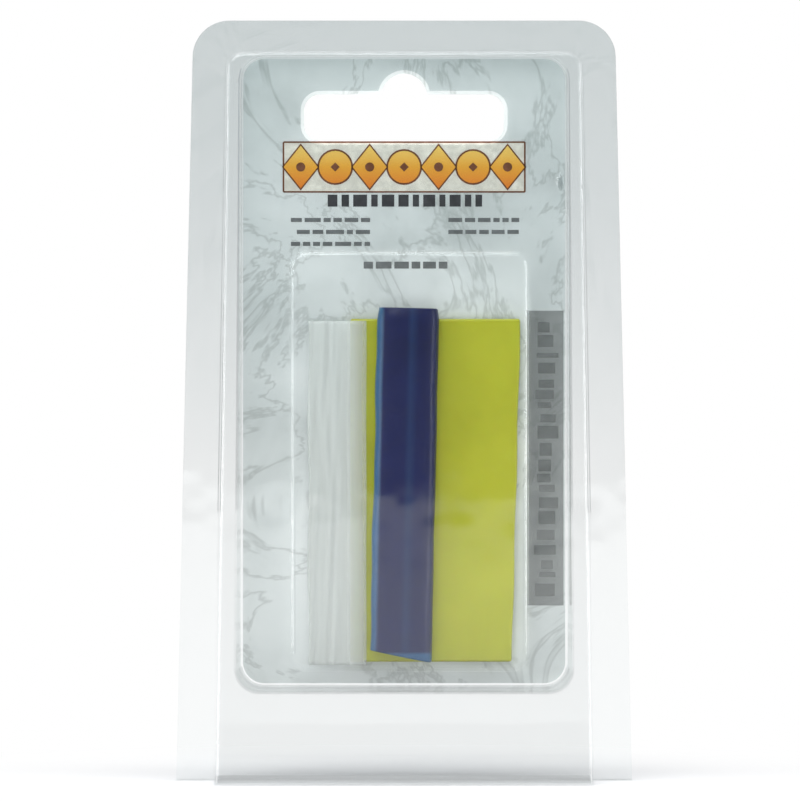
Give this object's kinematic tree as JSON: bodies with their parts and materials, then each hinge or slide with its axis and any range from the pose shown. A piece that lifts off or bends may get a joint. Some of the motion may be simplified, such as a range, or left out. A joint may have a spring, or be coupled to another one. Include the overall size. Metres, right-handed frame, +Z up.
{
  "type": "putty clamshell pack",
  "caption": "Clear stand-up clamshell with hang slot, printed card and a bubble that holds a slab and a bar of modelling putty.",
  "frame": {"origin": "middle of the pack's footprint, on the surface it stands on", "axes": "+Z up, +X to the right of someone facing the front, the front looks along -Y"},
  "size_m": [0.099, 0.0279, 0.165],
  "materials": {
    "clear_sheet": "clear glossy thermoformed sheet",
    "printed_card": "coated card printed with grey marble",
    "yellow_putty": "waxy uncured putty",
    "blue_putty": "waxy uncured putty, satin",
    "milky_film": "thin milky polythene film"
  },
  "bodies": {
    "front": {"front_shell": "clear_sheet", "living_hinge": "clear_sheet"},
    "back": {"back_shell": "clear_sheet", "card_insert": "printed_card"},
    "putty": {"film_wrap": "milky_film", "resin_slab": "yellow_putty", "hardener_bar": "blue_putty"}
  },
  "joints": [
    {"name": "back_hinge", "type": "hinge", "parent": "front", "child": "back", "pos_m": [0, 0.004, 0], "axis": [-1, 0, 0], "range_deg": [0, 175]},
    {"name": "putty_slide", "type": "slide", "parent": "front", "child": "putty", "axis": [0, 0, 1], "range_m": [0, 0.0115]}
  ]
}
